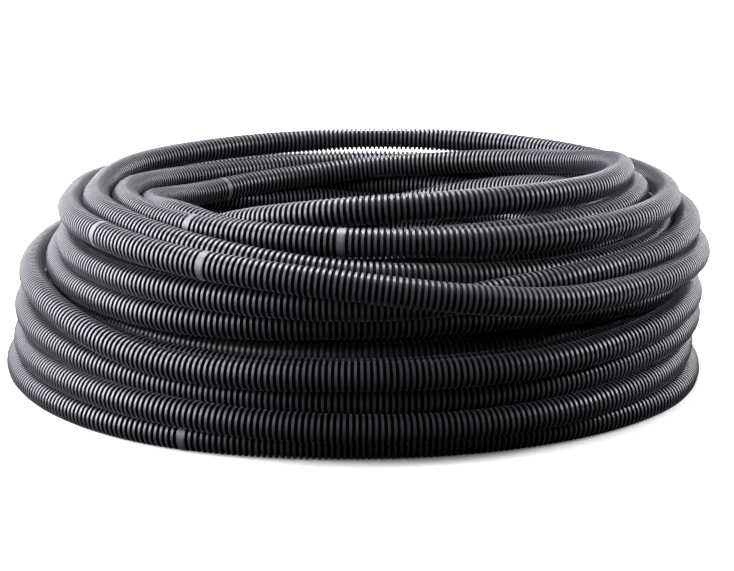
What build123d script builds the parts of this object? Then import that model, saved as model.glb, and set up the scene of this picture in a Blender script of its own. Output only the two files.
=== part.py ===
from build123d import *

import os

# A coil of corrugated conduit lying flat on the floor, in millimetres.
# The origin is on the floor under the middle of the coil's open eye, with +Z up.

# the conduit: a thin wall that runs in even waves round a clear bore
conduit_diameter = 20.0
bore_diameter = 14.1
wall = 0.55
wave_pitch = 4.1
wave_crest = 2.5
flank_slant = 0.3
crest_rounding = 0.45
valley_rounding = 0.25

# the coil: the middle of the bottom outer turn lies this far from the middle of the eye
coil_radius = 260.0

# the middle of each turn round the outside of the bundle, in conduit diameters:
# out from the bottom outer turn, and up from the floor
outer_turns = [(0, 0.5), (0.45, 1.4), (0.05, 2.33), (0.4, 3.28), (-0.45, 4.1), (-0.45, 5.13), (-0.1, 6.1)]
top_turns = [(-0.95, 6.65), (-1.95, 7.0), (-2.9, 7.55)]
inner_turns = [(-3.3, 6.6), (-3.0, 5.6), (-3.3, 4.58), (-3.0, 3.56), (-3.3, 2.54), (-3.0, 1.52)]
floor_turns = [(-3.3, 0.5), (-2.2, 0.5), (-1.1, 0.5)]

# the free end: it leaves the bottom turn behind the coil and runs straight along -X on the floor
end_open_waves = 16
end_reach = 180.0
end_inset = 1.0

conduit_radius = conduit_diameter / 2
bore_radius = bore_diameter / 2
valley_radius = bore_radius + wall
hollow_radius = conduit_radius - wall
hollow_crest = wave_crest - 2 * wall
open_length = end_open_waves * wave_pitch
end_axis_y = coil_radius - end_inset
end_plane = Plane(origin=(-end_reach, end_axis_y, conduit_radius), x_dir=(1, 0, 0), z_dir=(0, -1, 0))


def wave_corners(low, high, crest):
    """The corners of one side of the waved wall, from the cut end inwards."""
    corners = []
    for wave in range(end_open_waves):
        middle = (wave + 0.5) * wave_pitch
        corners.append((middle - crest / 2 - flank_slant / 2, low))
        corners.append((middle - crest / 2 + flank_slant / 2, high))
        corners.append((middle + crest / 2 - flank_slant / 2, high))
        corners.append((middle + crest / 2 + flank_slant / 2, low))
    return corners


with BuildPart() as conduit:
    # the bundle: the turns lie side by side, and their round backs show all over it
    turns = [
        (coil_radius + out * conduit_diameter, up * conduit_diameter)
        for out, up in outer_turns + top_turns + inner_turns + floor_turns
    ]
    with BuildSketch(Plane.XZ):
        with BuildLine():
            Polyline(*turns, close=True)
        make_face()
        with Locations(*turns):
            Circle(conduit_radius)
    revolve(axis=Axis.Z)

    # the free end is plain and solid where it comes out of the bundle, as thick as its waves are on average
    with BuildSketch(Plane(origin=(0, end_axis_y, conduit_radius), z_dir=(-1, 0, 0))):
        Circle((conduit_radius + valley_radius) / 2)
    extrude(amount=end_reach - open_length)

    # and then it is the open conduit itself, with its waved wall, inside and out
    with BuildSketch(end_plane) as waved_wall:
        outside = wave_corners(valley_radius, conduit_radius, wave_crest)
        inside = wave_corners(bore_radius, hollow_radius, hollow_crest)
        with BuildLine():
            Polyline(
                (0, bore_radius),
                (0, valley_radius),
                *outside,
                (open_length, valley_radius),
                (open_length, bore_radius),
                *reversed(inside),
                close=True,
            )
        make_face()
        corners = waved_wall.vertices()
        fillet(corners.filter_by_position(Axis.Y, conduit_radius, conduit_radius), crest_rounding)
        valley_corners = waved_wall.vertices().filter_by_position(Axis.Y, valley_radius, valley_radius)
        fillet(valley_corners.sort_by(Axis.X)[1:-1], valley_rounding)
    revolve(axis=Axis(end_plane.origin, (1, 0, 0)))

conduit.part.label = "conduit"

os.makedirs("parts", exist_ok=True)
export_step(conduit.part, "parts/conduit.step")
print("conduit", round(conduit.part.volume / 1e6, 3), "litres", conduit.part.bounding_box())
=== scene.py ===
import bisect
import math

import bmesh
import bpy
from mathutils import Matrix, Vector


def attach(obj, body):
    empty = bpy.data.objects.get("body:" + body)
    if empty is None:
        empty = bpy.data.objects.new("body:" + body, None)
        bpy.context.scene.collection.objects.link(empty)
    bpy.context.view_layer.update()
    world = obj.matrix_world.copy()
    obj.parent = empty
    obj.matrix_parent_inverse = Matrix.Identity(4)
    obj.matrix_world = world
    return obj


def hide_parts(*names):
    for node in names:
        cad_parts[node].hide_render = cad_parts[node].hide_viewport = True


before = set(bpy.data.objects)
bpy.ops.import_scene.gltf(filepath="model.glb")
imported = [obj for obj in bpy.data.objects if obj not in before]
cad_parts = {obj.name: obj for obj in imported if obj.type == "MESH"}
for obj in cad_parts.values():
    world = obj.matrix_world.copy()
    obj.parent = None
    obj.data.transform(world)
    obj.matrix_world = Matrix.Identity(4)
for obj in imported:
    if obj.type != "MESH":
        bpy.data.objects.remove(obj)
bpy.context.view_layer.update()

mm = 0.001

# the camera, as the photograph was taken: a long lens a little above the coil
camera = {
    "distance": 1.45,
    "elevation": 14.05,
    "lens": 89.3,
    "sensor": 36.0,
    "roll": 0.35,
    "lookAt": (0.0072, 0.0, 0.0544),
}


def placeCamera():
    elevation = math.radians(camera["elevation"])
    lookAt = Vector(camera["lookAt"])
    back = Vector((0, -math.cos(elevation), math.sin(elevation)))
    data = bpy.data.cameras.new("photoCamera")
    data.lens = camera["lens"]
    data.sensor_width = camera["sensor"]
    data.sensor_fit = "HORIZONTAL"
    data.clip_start = 0.02
    data.clip_end = 60
    eye = bpy.data.objects.new("photoCamera", data)
    bpy.context.scene.collection.objects.link(eye)
    eye.location = lookAt + camera["distance"] * back
    eye.rotation_euler = back.to_track_quat("Z", "Y").to_euler()
    eye.rotation_euler.rotate_axis("Z", math.radians(camera["roll"]))
    bpy.context.scene.camera = eye


placeCamera()
print("camera placed")


# the conduit itself, in millimetres
conduit = {
    "diameter": 20.0,
    "bore": 14.1,
    "wall": 0.55,
    "pitch": 4.1,
    "crest": 2.5,
    "slant": 0.3,
    "shownCrest": 2.1,     # a wave of the laid turns, where the rounding of the crest is left out
    "shownSlant": 0.5,
    "openWaves": 16,
    "plainRing": 9.0,
    "plainRadius": 9.6,
}

# how the coil lies, in millimetres
coil = {
    "clock": 12,        # places round a turn in the table below
    "finer": 2,         # control points from one place to the next
    "gap": 19.6,        # from the middle of a turn to the next one
    "inward": 20.4,     # a turn hidden inside lies this much further in
    "eye": 166,         # no middle line comes nearer than this to the middle of the eye
    "floor": 10,        # the lowest middle line
    "rounds": 100,      # steps in which the turns press each other into place
    "start": 2,
}

# radius and height of the middle of each turn that shows, in millimetres, read like a clock:
# the first pair is at one o'clock, then on by the left at three and the front at six to the back at twelve
turnsThatShow = {
    "eyeLow": [(226, 80), (214, 84), (207, 92), (220, 94), (226, 94), (230, 93),
               (228, 92), (232, 94), (232, 97), (238, 94), (246, 88), (250, 84)],
    "eyeMiddle": [(240, 80), (226, 88), (204, 110), (208, 116), (214, 114), (218, 122),
                  (215, 118), (214, 112), (216, 111), (216, 104), (226, 92), (236, 84)],
    "eyeHigh": [(191, 75), (190, 88), (188, 105), (190, 114), (195, 115), (198, 113),
                (194, 114), (196, 115), (192, 119), (184, 118), (176, 100), (170, 77)],
    "top": [(170, 66), (169, 75), (170, 98), (176, 115), (171, 136), (186, 154),
            (196, 158), (204, 156), (204, 153), (206, 136), (200, 124), (191, 113)],
    "crownInner": [(178, 106), (165, 109), (160, 122), (168, 131), (185, 134), (198, 134),
                   (209, 137), (216, 139), (215, 139), (219, 124), (217, 116), (212, 114)],
    "crown": [(200, 114), (189, 119), (179, 131), (189, 136), (205, 137), (218, 138),
              (232, 138), (240, 138), (240, 135), (243, 133), (238, 135), (230, 134)],
    "shoulder": [(219, 133), (210, 133), (200, 133), (213, 137), (229, 131), (239, 120),
                 (232, 112), (234, 112), (238, 112), (242, 111), (240, 112), (237, 112)],
    "slipped": [(234, 111), (226, 106), (220, 104), (233, 102), (244, 103), (250, 102),
                (250, 111), (256, 114), (256, 117), (260, 113), (259, 108), (257, 106)],
    "sixth": [(254, 111), (240, 120), (219, 126), (233, 131), (248, 126), (260, 119),
              (268, 101), (268, 102), (261, 97), (266, 95), (272, 91), (272, 86)],
    "fifth": [(262, 88), (246, 88), (232, 87), (238, 85), (245, 83), (234, 87),
              (232, 87), (249, 78), (246, 79), (254, 77), (262, 74), (266, 74)],
    "fourth": [(266, 76), (260, 82), (252, 80), (260, 77), (269, 58), (270, 61),
               (271, 62), (265, 69), (252, 67), (260, 62), (268, 57), (271, 55)],
    "behind": [(262, 55), (246, 60), (236, 64), (243, 62), (248, 53), (248, 56),
               (248, 58), (247, 60), (238, 62), (244, 58), (248, 55), (250, 54)],
    "third": [(243, 43), (254, 48), (258, 53), (260, 45), (260, 40), (260, 41),
              (260, 42), (261, 45), (257, 48), (260, 44), (262, 42), (263, 42)],
    "second": [(266, 41), (260, 35), (256, 28), (266, 28), (271, 27), (271, 25),
               (271, 25), (262, 31), (248, 29), (260, 27), (268, 27), (268, 28)],
    "bottom": [(240, 10), (254, 10), (263, 10), (270, 10), (271, 10), (257, 10),
               (261, 10), (268, 10), (253, 10), (250, 10), (255, 10), (259, 10)],
}

# the order in which the turns were wound, from the end inside the bundle to the free end:
# a turn that shows, or one that lies so many conduits inside it
winding = [
    ("fifth", 1), ("fifth", 2), ("fifth", 3), ("eyeLow", 1), ("eyeLow", 0),
    ("eyeMiddle", 0), ("eyeHigh", 0), ("top", 0), ("crownInner", 0), ("crown", 0), ("shoulder", 0),
    ("slipped", 0), ("sixth", 0), ("fifth", 0), ("fourth", 0), ("behind", 0), ("behind", 1),
    ("behind", 2), ("behind", 3), ("third", 3.9), ("third", 3), ("third", 2), ("third", 1),
    ("third", 0), ("second", 0), ("second", 1), ("second", 2), ("second", 3), ("second", 4),
    ("bottom", 3.9), ("bottom", 3), ("bottom", 2), ("bottom", 1), ("bottom", 0),
]
looseTurns = ("eyeLow", "eyeMiddle")

# the free end leaves the bottom turn behind the coil and runs straight along the floor
freeEnd = [(35, 259, 10), (-35, 259, 10), (-80, 259, 10), (-130, 259, 10), (-180, 259, 10)]


def windTurns():
    wound, held = [], []
    for name, inwards in winding:
        own = [(radius - inwards * coil["inward"], height) for radius, height in turnsThatShow[name]]
        if inwards and wound:      # a hidden turn goes on from where the one before it ends
            own[0] = wound[-1][-1]
            own[1] = tuple((a + b) / 2 for a, b in zip(own[0], own[2]))
        wound.append(own)
        held.append(inwards == 0 and name not in looseTurns)
    return wound, held


def between(points, n):
    a, b, c, d = (points[max(0, min(len(points) - 1, n + k))] for k in (-1, 0, 1, 2))
    return tuple((9 * (q + r) - p - s) / 16 for p, q, r, s in zip(a, b, c, d))


def layOut():
    wound, turnHeld = windTurns()
    coarse = [place for turn in wound for place in turn]
    route, held = [], []
    for n in range(len(coarse) - 1):
        route += [list(coarse[n]), list(between(coarse, n))]
        held += [turnHeld[n // coil["clock"]]] * coil["finer"]
    return route + [list(coarse[-1])], held + [turnHeld[-1]]


def pressApart(route, held, here):
    for i, n in enumerate(here):
        for m in here[i + 1:]:
            across = route[m][0] - route[n][0]
            up = route[m][1] - route[n][1]
            apart = math.hypot(across, up)
            if apart >= coil["gap"]:
                continue
            push = 0.8 * (coil["gap"] - apart) / max(apart, 0.1)
            a = 0.12 if held[n] else 1
            b = 0.12 if held[m] else 1
            route[n][0] -= across * push * a / (a + b)
            route[n][1] -= up * push * a / (a + b)
            route[m][0] += across * push * b / (a + b)
            route[m][1] += up * push * b / (a + b)


def settle(route, held):
    places = coil["clock"] * coil["finer"]
    home = [tuple(place) for place in route]
    slices = [
        [n for n in range(len(route)) if (n + coil["start"]) % places == place]
        for place in range(places)
    ]
    for step in range(coil["rounds"]):
        old = [tuple(place) for place in route]
        smoothing = step < coil["rounds"] - 10
        for n in range(1, len(route) - 1):
            ease = (0.05 if held[n] else 0.3) * smoothing
            back = 0.12 if held[n] else 0.004
            for k in (0, 1):
                route[n][k] += ease * ((old[n - 1][k] + old[n + 1][k]) / 2 - old[n][k])
                route[n][k] += back * (home[n][k] - old[n][k])
        for here in slices:
            pressApart(route, held, here)
            for n in here:
                route[n][1] = max(route[n][1], coil["floor"])
                if not held[n]:
                    route[n][0] = max(route[n][0], coil["eye"])
    return route


def controlPoints(route):
    places = coil["clock"] * coil["finer"]
    inside = 0.75 + 0.25 * math.cos(2 * math.pi / places)     # the spline runs this far inside its points
    points = []
    for n, (radius, height) in enumerate(route):
        angle = math.radians(90 + (n + coil["start"]) * 360 / places)
        points.append((radius / inside * math.cos(angle), radius / inside * math.sin(angle), height))
    return points[:-2] + freeEnd


routeResolution = 12


def routeSpline():
    route, held = layOut()
    points = controlPoints(settle(route, held))
    curve = bpy.data.curves.new("routeOfTheConduit", "CURVE")
    curve.dimensions = "3D"
    curve.resolution_u = routeResolution
    spline = curve.splines.new("NURBS")
    spline.points.add(len(points) - 1)
    for point, place in zip(spline.points, points):
        point.co = (*(Vector(place) * mm), 1)
    spline.order_u = 3
    spline.use_endpoint_u = True
    line = bpy.data.objects.new("routeOfTheConduit", curve)
    bpy.context.scene.collection.objects.link(line)
    return line


def readLine(line):
    bpy.context.view_layer.update()
    mesh = bpy.data.meshes.new_from_object(line.evaluated_get(bpy.context.evaluated_depsgraph_get()))
    places = [vertex.co.copy() for vertex in mesh.vertices]
    bpy.data.meshes.remove(mesh)
    along = [0.0]
    for a, b in zip(places, places[1:]):
        along.append(along[-1] + (b - a).length)
    return places, along


routeLine = routeSpline()
linePoints, lineAlong = readLine(routeLine)
conduitLength = lineAlong[-1]
print("route laid:", len(winding), "turns,", round(conduitLength, 2), "m of conduit")


# materials
class Socket:
    def __init__(self, maker, socket):
        self.maker = maker
        self.socket = socket

    def math(self, operation, *values):
        return self.maker.node("ShaderNodeMath", {"operation": operation}, dict(enumerate(values)))

    def __add__(self, other):
        return self.math("ADD", self, other)

    def __sub__(self, other):
        return self.math("SUBTRACT", self, other)

    def __mul__(self, other):
        return self.math("MULTIPLY", self, other)

    def __rsub__(self, other):
        return self.math("SUBTRACT", other, self)

    __radd__ = __add__
    __rmul__ = __mul__

    def __pow__(self, other):
        return self.math("POWER", self, other)

    def clamped(self):
        return self.math("MINIMUM", self.math("MAXIMUM", self, 0.0), 1.0)


class Maker:
    def __init__(self, tree, isWorld=False):
        self.tree = tree
        self.isWorld = isWorld

    def node(self, kind, settings=None, values=None, output=0):
        made = self.tree.nodes.new(kind)
        for name, value in (settings or {}).items():
            if name == "stops":
                ramp = made.color_ramp
                while len(ramp.elements) < len(value):
                    ramp.elements.new(0.5)
                for element, (place, colour) in zip(ramp.elements, value):
                    element.position = place
                    element.color = colour
            else:
                setattr(made, name, value)
        for name, value in (values or {}).items():
            socket = made.inputs[name]
            if isinstance(value, Socket):
                self.tree.links.new(value.socket, socket)
            else:
                socket.default_value = value
        return Socket(self, made.outputs[output]) if made.outputs else None


plastic = {
    "colour": (0.030, 0.030, 0.035, 1),
    "dusty": (0.105, 0.102, 0.120, 1),
    # painted sheen: the paler colour of the smooth bands, which are the same black plastic
    "band": (0.065, 0.064, 0.072, 1),
    # painted shade: the near-black colour of the valleys between the crests
    "paintedValleyShade": (0.004, 0.004, 0.005, 1),
    "roughness": 0.38,
    "gloss": 1.0,
    "glossTint": (0.94, 0.94, 1.0, 1),
    "haze": 0.16,
    "hazeRoughness": 0.35,
    "hazeTint": (0.88, 0.885, 1.0, 1),
}


def conduitPlastic(name, waves):
    material = bpy.data.materials.new(name)
    material.use_nodes = True
    material.node_tree.nodes.clear()
    make = Maker(material.node_tree)
    place = make.node("ShaderNodeTexCoord", output="Object")
    along = make.node("ShaderNodeUVMap", {"uv_map": "alongConduit"})
    stretched = make.node("ShaderNodeMapping", values={"Vector": along, "Scale": (6.0, 14.0, 1.0)})
    crest = make.node("ShaderNodeAttribute", {"attribute_name": "crest"}, output="Fac")
    band = make.node("ShaderNodeAttribute", {"attribute_name": "band"}, output="Fac")

    blotch = make.node("ShaderNodeTexNoise", values={"Vector": place, "Scale": 23.0, "Detail": 4.0})
    grain = make.node("ShaderNodeTexNoise", values={"Vector": place, "Scale": 900.0, "Detail": 3.0})
    streak = make.node("ShaderNodeTexNoise", values={"Vector": stretched, "Scale": 5.0, "Detail": 5.0})
    scuff = (((streak - 0.55) * 5.0).clamped() * ((grain - 0.42) * 5.0).clamped() * crest).clamped()
    dust = (((blotch - 0.42) * 2.2).clamped() * (0.35 + 0.65 * grain)).clamped()

    worn = make.node(
        "ShaderNodeMix", {"data_type": "RGBA"},
        {"Factor": (0.25 * dust + 0.30 * scuff).clamped(), 6: plastic["colour"], 7: plastic["dusty"]}, output=2)
    # painted sheen: the bands are coloured paler for the sheen of their smooth, flat surface
    banded = make.node(
        "ShaderNodeMix", {"data_type": "RGBA"},
        {"Factor": (band * (0.1 + 1.3 * grain)).clamped(), 6: worn, 7: plastic["band"]}, output=2)
    roughness = (plastic["roughness"] + 0.10 * dust + 0.12 * scuff + 0.12 * band).clamped()
    relief = 0.00004 * grain
    if waves:      # the stretches hidden in the bundle are plain tubes, and their waves are bump and painted valley shade
        turned = make.node("ShaderNodeSeparateXYZ", values={"Vector": along})
        wave = turned.math("COSINE", turned * (2 * math.pi * 1000 / conduit["pitch"]))
        crest = (0.5 - 2.5 * wave).clamped()
        relief = relief + 0.0008 * crest
    bump = make.node("ShaderNodeBump", values={"Height": relief, "Strength": 0.6, "Distance": 1.0})
    outer = make.node("ShaderNodeBsdfPrincipled", values={
        "Base Color": banded, "Roughness": roughness, "Normal": bump, "IOR": 1.5,
        "Specular IOR Level": plastic["gloss"], "Specular Tint": plastic["glossTint"],
        "Sheen Weight": plastic["haze"], "Sheen Roughness": plastic["hazeRoughness"],
        "Sheen Tint": plastic["hazeTint"]})
    # painted shade: the valleys get a near-black, dull finish that stands in for the shade falling between the crests
    paintedValleyShade = make.node("ShaderNodeBsdfPrincipled", values={
        "Base Color": plastic["paintedValleyShade"], "Roughness": 0.7, "Specular IOR Level": 0.08})
    both = make.node("ShaderNodeMixShader", values={0: ((crest - 0.6) * 2.5).clamped(), 1: paintedValleyShade, 2: outer})
    make.node("ShaderNodeOutputMaterial", values={"Surface": both})
    return material


finePlastic = conduitPlastic("satinBlackConduit", waves=False)
plainPlastic = conduitPlastic("satinBlackConduitInside", waves=True)
print("materials made")


# one wave of the conduit, spun round X from its profile
def ringProfile(form, corners, segments, closed=False):
    rim = [form.verts.new((x * mm, 0, radius * mm)) for x, radius in corners]
    edges = [form.edges.new(pair) for pair in zip(rim, rim[1:])]
    if closed:
        edges.append(form.edges.new((rim[-1], rim[0])))
    bmesh.ops.spin(form, geom=rim + edges, cent=(0, 0, 0), axis=(1, 0, 0), angle=2 * math.pi,
                   steps=segments, use_merge=True)


def waveCorners(middle, low, high, crest, slant):
    half = crest / 2
    lean = slant / 2
    return [(middle - half - lean, low), (middle - half + lean, high),
            (middle + half - lean, high), (middle + half + lean, low)]


def valleyRadius():
    return conduit["bore"] / 2 + conduit["wall"]


def markFinish(form, isBand):
    crest = form.verts.layers.float.new("crest")
    band = form.verts.layers.float.new("band")
    along = form.loops.layers.uv.new("alongConduit")
    low = valleyRadius()
    high = conduit["diameter"] / 2
    for vertex in form.verts:
        radius = math.hypot(vertex.co.y, vertex.co.z) / mm
        vertex[crest] = max(0.0, min(1.0, (radius - low) / (high - low)))
        vertex[band] = float(isBand)
    for edge in form.edges:      # the rims of the crests are crisp
        ends = [vertex.co for vertex in edge.verts]
        edge.smooth = abs(ends[0].x - ends[1].x) > 1e-7 or ends[0].yz.length / mm < high - 0.1
    for face in form.faces:
        face.smooth = True
        for loop in face.loops:
            place = loop.vert.co
            round_ = math.atan2(place.y, place.z) / (2 * math.pi)
            loop[along].uv = (place.x, round_ % 1.0)
        turns = [loop[along].uv.y for loop in face.loops]
        if max(turns) - min(turns) > 0.5:      # the face that closes the ring
            for loop in face.loops:
                if loop[along].uv.y < 0.5:
                    loop[along].uv.y += 1


def asMesh(form, name, isBand=False):
    bmesh.ops.remove_doubles(form, verts=form.verts, dist=1e-6)
    bmesh.ops.recalc_face_normals(form, faces=form.faces)
    markFinish(form, isBand)
    mesh = bpy.data.meshes.new(name)
    form.to_mesh(mesh)
    form.free()
    return mesh


def waveMesh(segments):
    form = bmesh.new()
    wave = waveCorners(conduit["pitch"] / 2, valleyRadius(), conduit["diameter"] / 2,
                       conduit["shownCrest"], conduit["shownSlant"])
    ringProfile(form, wave + [(wave[0][0] + conduit["pitch"], wave[0][1])], segments)
    return asMesh(form, "oneWave")


def plainMesh(segments):
    form = bmesh.new()
    radius = conduit["plainRadius"]
    ringProfile(form, [(0, radius), (conduit["plainRing"], radius)], segments)
    return asMesh(form, "onePlainRing")


def bandMesh(segments):
    form = bmesh.new()
    over = conduit["diameter"] / 2 + 0.04
    half = conduit["pitch"] / 2
    ringProfile(form, [(-half, over - 0.3), (-half + 0.2, over), (half - 0.2, over), (half, over - 0.3)], segments)
    return asMesh(form, "markerBand", isBand=True)


def openEndMesh(segments):
    form = bmesh.new()
    outside, inside = [], []
    for wave in range(conduit["openWaves"]):
        middle = (wave + 0.5) * conduit["pitch"]
        outside += waveCorners(middle, valleyRadius(), conduit["diameter"] / 2, conduit["crest"], conduit["slant"])
        inside += waveCorners(middle, conduit["bore"] / 2, conduit["diameter"] / 2 - conduit["wall"],
                              conduit["crest"] - 2 * conduit["wall"], conduit["slant"])
    reach = conduit["openWaves"] * conduit["pitch"]
    wall = [(0, conduit["bore"] / 2), (0, valleyRadius())] + outside
    wall += [(reach, valleyRadius()), (reach, conduit["bore"] / 2)] + inside[::-1]
    ringProfile(form, wall, segments, closed=True)
    return asMesh(form, "openEnd")


def placed(mesh, name, modifiers):
    piece = bpy.data.objects.new(name, mesh)
    bpy.context.scene.collection.objects.link(piece)
    for kind, settings in modifiers:
        modifier = piece.modifiers.new(kind, kind)
        for key, value in settings.items():
            setattr(modifier, key, value)
    bpy.context.view_layer.update()
    made = bpy.data.meshes.new_from_object(piece.evaluated_get(bpy.context.evaluated_depsgraph_get()))
    bpy.data.objects.remove(piece)
    return made


def repeated(mesh, start, count, step):
    for vertex in mesh.vertices:
        vertex.co.x += start
    for loop in mesh.uv_layers["alongConduit"].data:
        loop.uv.x += start
    return placed(mesh, "repeated", [("ARRAY", {
        "count": count, "use_relative_offset": False, "use_constant_offset": True,
        "constant_offset_displace": (step, 0, 0), "use_merge_vertices": True, "merge_threshold": 1e-5,
        "offset_u": step})])


# the stretches of the conduit: how many turns each one takes, how fine it is, and how many sides it has
stretches = [
    ("core_upper", 1.75, "plain", 12),
    ("inner_upper", 2.25, "fine", 12),
    ("turns_eye", 4, "fine", 16),
    ("turns_crown", 4, "fine", 16),
    ("turns_side", 3, "fine", 16),
    ("turn_behind", 1, "fine", 16),
    ("core_middle", 1.75, "plain", 12),
    ("inner_middle", 2.5, "fine", 12),
    ("core_third", 2.5, "plain", 12),
    ("turns_low", 2.5, "fine", 16),
    ("core_second", 2.5, "plain", 12),
    ("inner_low", 2.5, "fine", 12),
    ("core_bottom", 2.5, "plain", 12),
    ("turn_bottom", 1.25, "fine", 16),
]

# the bands, where two neighbouring waves run together, painted paler as a painted sheen of their smooth surface: the
# ones that show, as a turn and an hour on it, and behind the coil a pair of them each time the mould comes round
bands = {
    "seen": [("sixth", 4.36), ("sixth", 5.22), ("crown", 4.87), ("crown", 5.90), ("crownInner", 1.45),
             ("bottom", 5.19), ("second", 8.42)],
    "cycle": 356,
    "pair": 31,
    "behind": 0.06,
    "plainTurns": ("eyeLow", "eyeMiddle", "eyeHigh", "top", "crownInner", "crown"),
}


def alongAtTurn(turn):
    places = coil["clock"] * coil["finer"]
    return lineAlong[min(round(turn * places * routeResolution), len(lineAlong) - 1)]


def alongAtHour(turn, hour):
    aTurn = coil["clock"] * coil["finer"] * routeResolution
    angle = math.radians(90 + hour * 360 / coil["clock"])
    toward = Vector((math.cos(angle), math.sin(angle)))
    near = round((turn + (hour - coil["start"] / coil["finer"]) / coil["clock"]) * aTurn)
    around = range(near - aTurn // 8, min(near + aTurn // 8, len(linePoints)))
    return lineAlong[max(around, key=lambda n: linePoints[n].xy.normalized() @ toward)]


def bandWaves():
    pitch = conduit["pitch"] * mm
    waves = []
    for name, hour in bands["seen"]:
        waves.append(round(alongAtHour(winding.index((name, 0)), hour) / pitch))
    total = int(conduitLength / pitch)
    for start in range(bands["cycle"] // 2, total, bands["cycle"]):
        for wave in (start, start + bands["pair"]):
            n = bisect.bisect(lineAlong, wave * pitch)
            turn = min(len(winding) - 1, n // (coil["clock"] * coil["finer"] * routeResolution))
            behind = n < len(linePoints) and linePoints[n].y > bands["behind"]
            if behind and winding[turn][1] == 0 and winding[turn][0] not in bands["plainTurns"]:
                waves.append(wave)
    return waves


def joined(meshes, name):
    form = bmesh.new()
    for mesh in meshes:
        form.from_mesh(mesh)
    whole = bpy.data.meshes.new(name)
    form.to_mesh(whole)
    form.free()
    return whole


def movedAlong(mesh, x):
    mesh.transform(Matrix.Translation((x, 0, 0)))
    for loop in mesh.uv_layers["alongConduit"].data:
        loop.uv.x += x
    return mesh


def layStretch(name, first, last, kind, segments, bandPlaces):
    pitch = conduit["pitch"] * mm
    firstWave = round(alongAtTurn(first) / pitch)
    lastWave = round(alongAtTurn(last) / pitch)
    isEnd = last == len(winding)
    if isEnd:
        lastWave = int(conduitLength / pitch) - conduit["openWaves"]
    start = firstWave * pitch
    end = conduitLength if isEnd else lastWave * pitch
    if kind == "fine":
        meshes = [repeated(waveMesh(segments), start, lastWave - firstWave, pitch)]
        for wave in bandPlaces:
            if firstWave + 2 < wave < lastWave - 2:
                meshes.append(movedAlong(bandMesh(segments), wave * pitch))
    else:
        ring = conduit["plainRing"] * mm
        meshes = [repeated(plainMesh(segments), start, max(1, round((end - start) / ring)), ring)]
    if isEnd:
        meshes.append(movedAlong(openEndMesh(24), conduitLength - conduit["openWaves"] * pitch))
    bent = placed(joined(meshes, name), name, [("CURVE", {"object": routeLine, "deform_axis": "POS_X"})])
    bent.name = name
    bent.materials.clear()
    bent.materials.append(finePlastic if kind == "fine" else plainPlastic)
    piece = bpy.data.objects.new(name, bent)
    bpy.context.scene.collection.objects.link(piece)
    path = [point for point, at in zip(linePoints, lineAlong) if start <= at <= end]
    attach(piece, "root")
    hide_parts("conduit")
    round(end - start, 3)
    print(name, round(end - start, 2), "m,", sum(len(face.vertices) - 2 for face in bent.polygons), "triangles")


bandPlaces = bandWaves()
turn = 0
for name, turns, kind, sides in stretches:
    layStretch(name, turn, turn + turns, kind, sides, bandPlaces)
    turn += turns
bpy.data.objects.remove(routeLine)


# the studio: a pale floor, a white backdrop behind the coil and soft lights on its left and right
studio = {
    "surround": 0.035,
    "floorColour": (0.88, 0.88, 0.88, 1),
    "floorInFront": (0.035, 0.035, 0.035, 1),    # as the coil mirrors it: dark in front, pale at the sides and behind
    "floorGlow": 0.82,
    "shadowUnderCoil": 0.257,                       # painted shadow: from here inwards the floor's glow is left out, so the floor is dark under the coil
}


def makeFloor():
    form = bmesh.new()
    bmesh.ops.create_grid(form, x_segments=1, y_segments=1, size=12)
    mesh = bpy.data.meshes.new("floor")
    form.to_mesh(mesh)
    form.free()
    floor = bpy.data.objects.new("floor", mesh)
    bpy.context.scene.collection.objects.link(floor)
    material = bpy.data.materials.new("paleFloor")
    material.use_nodes = True
    material.node_tree.nodes.clear()
    make = Maker(material.node_tree)
    sees = make.node("ShaderNodeLightPath", output="Is Camera Ray")
    place = make.node("ShaderNodeTexCoord", output="Object")
    aside, ahead = (make.node("ShaderNodeSeparateXYZ", values={"Vector": place}, output=n) for n in (0, 1))
    pale = (aside * aside * 3.0 + (ahead - 0.2).clamped() * 2.0 - 0.2).clamped()
    colour = make.node("ShaderNodeMix", {"data_type": "RGBA"}, {
        "Factor": (sees + pale).clamped(), 6: studio["floorInFront"], 7: studio["floorColour"]}, output=2)
    lit = make.node("ShaderNodeBsdfDiffuse", values={"Color": colour})
    away = (aside * aside + ahead * ahead) ** 0.5
    # painted shadow: no glow under the coil, so the floor there stays dark
    glows = ((away - studio["shadowUnderCoil"]) * 30.0).clamped() * (studio["floorGlow"] + (away - 0.3).clamped())
    glow = make.node("ShaderNodeEmission", values={
        "Color": (1, 1, 1, 1), "Strength": glows * raysThatSee(make)})
    both = make.node("ShaderNodeAddShader", values={0: lit, 1: glow})
    make.node("ShaderNodeOutputMaterial", values={"Surface": both})
    mesh.materials.append(material)


def raysThatSee(make):      # the camera sees white all round, and what shines mirrors the backdrop
    kinds = [make.node("ShaderNodeLightPath", output="Is %s Ray" % kind)
             for kind in ("Camera", "Glossy", "Transmission")]
    place = make.node("ShaderNodeTexCoord", output="Generated" if make.isWorld else "Object")
    behind = make.node("ShaderNodeSeparateXYZ", values={"Vector": place}, output=1)
    return (kinds[0] + (kinds[1] + kinds[2]) * ((behind - 0.3) * 3.0).clamped()).clamped()


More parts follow.
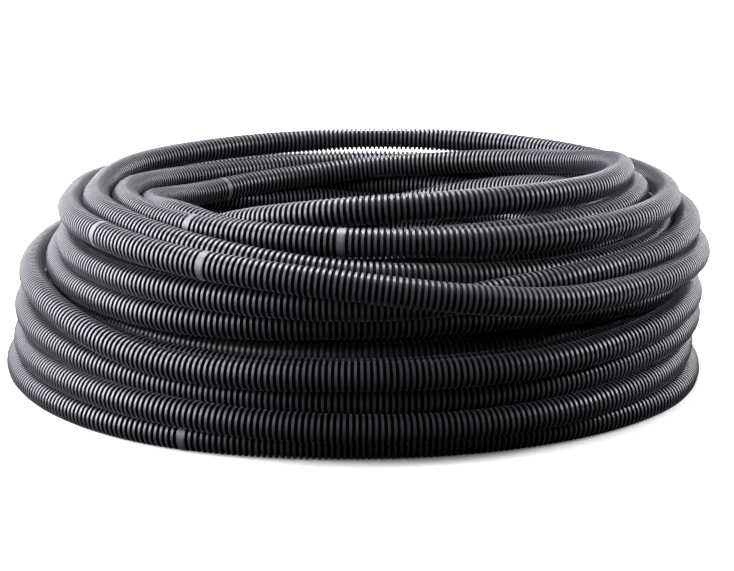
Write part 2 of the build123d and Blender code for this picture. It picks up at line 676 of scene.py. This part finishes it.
def makeSurround():
    world = bpy.data.worlds.new("studio")
    bpy.context.scene.world = world
    world.use_nodes = True
    world.node_tree.nodes.clear()
    make = Maker(world.node_tree, isWorld=True)
    strength = studio["surround"] + raysThatSee(make) * (1 - studio["surround"])
    back = make.node("ShaderNodeBackground", values={"Color": (1, 1, 1, 1), "Strength": strength})
    make.node("ShaderNodeOutputWorld", values={"Surface": back})


# each soft light: its name, where it stands round the coil in degrees from the camera's side, how far away, how high,
# and its power
lamps = {
    "width": 0.9,
    "tall": 0.6,
    "aim": (0, 0, 0.05),
    "brighter": 1.7,
    "colour": (0.94, 0.945, 1.0),
    "each": [
        ("leftFrontHigh", -55, 1.5, 1.0, 10.0),
        ("leftFrontLow", -55, 1.5, 0.35, 3.0),
        ("leftHigh", -85, 1.5, 1.0, 11.5),
        ("leftLow", -85, 1.5, 0.35, 11.0),
        ("leftBackHigh", -115, 1.5, 1.0, 8.5),
        ("leftBackLow", -115, 1.5, 0.35, 4.0),
        ("backLeftLow", -150, 1.5, 0.35, 4.5),
        ("rightHigh", 85, 1.5, 1.0, 12.5),
        ("rightBackLow", 115, 1.5, 0.35, 4.5),
        ("backRightLow", 150, 1.5, 0.35, 4.5),
        ("aboveLeft", -90, 1.0, 1.9, 7.9),
        ("aboveBackLeft", -135, 1.0, 1.9, 16.0),
        ("aboveBehind", 180, 0.35, 1.9, 15.0),
        ("aboveFarBehind", 180, 0.95, 1.8, 7.0),
    ],
}


def makeLamps():
    for name, around, away, height, power in lamps["each"]:
        data = bpy.data.lights.new(name, "AREA")
        data.shape = "RECTANGLE"
        data.size = lamps["width"]
        data.size_y = lamps["tall"]
        data.energy = power * lamps["brighter"]
        data.color = lamps["colour"]
        lamp = bpy.data.objects.new(name, data)
        bpy.context.scene.collection.objects.link(lamp)
        angle = math.radians(around)
        lamp.location = (away * math.sin(angle), -away * math.cos(angle), height)
        lamp.rotation_euler = (lamp.location - Vector(lamps["aim"])).to_track_quat("Z", "Y").to_euler()


makeFloor()
makeSurround()
makeLamps()
bpy.context.scene.view_settings.view_transform = "Standard"
print("studio set")
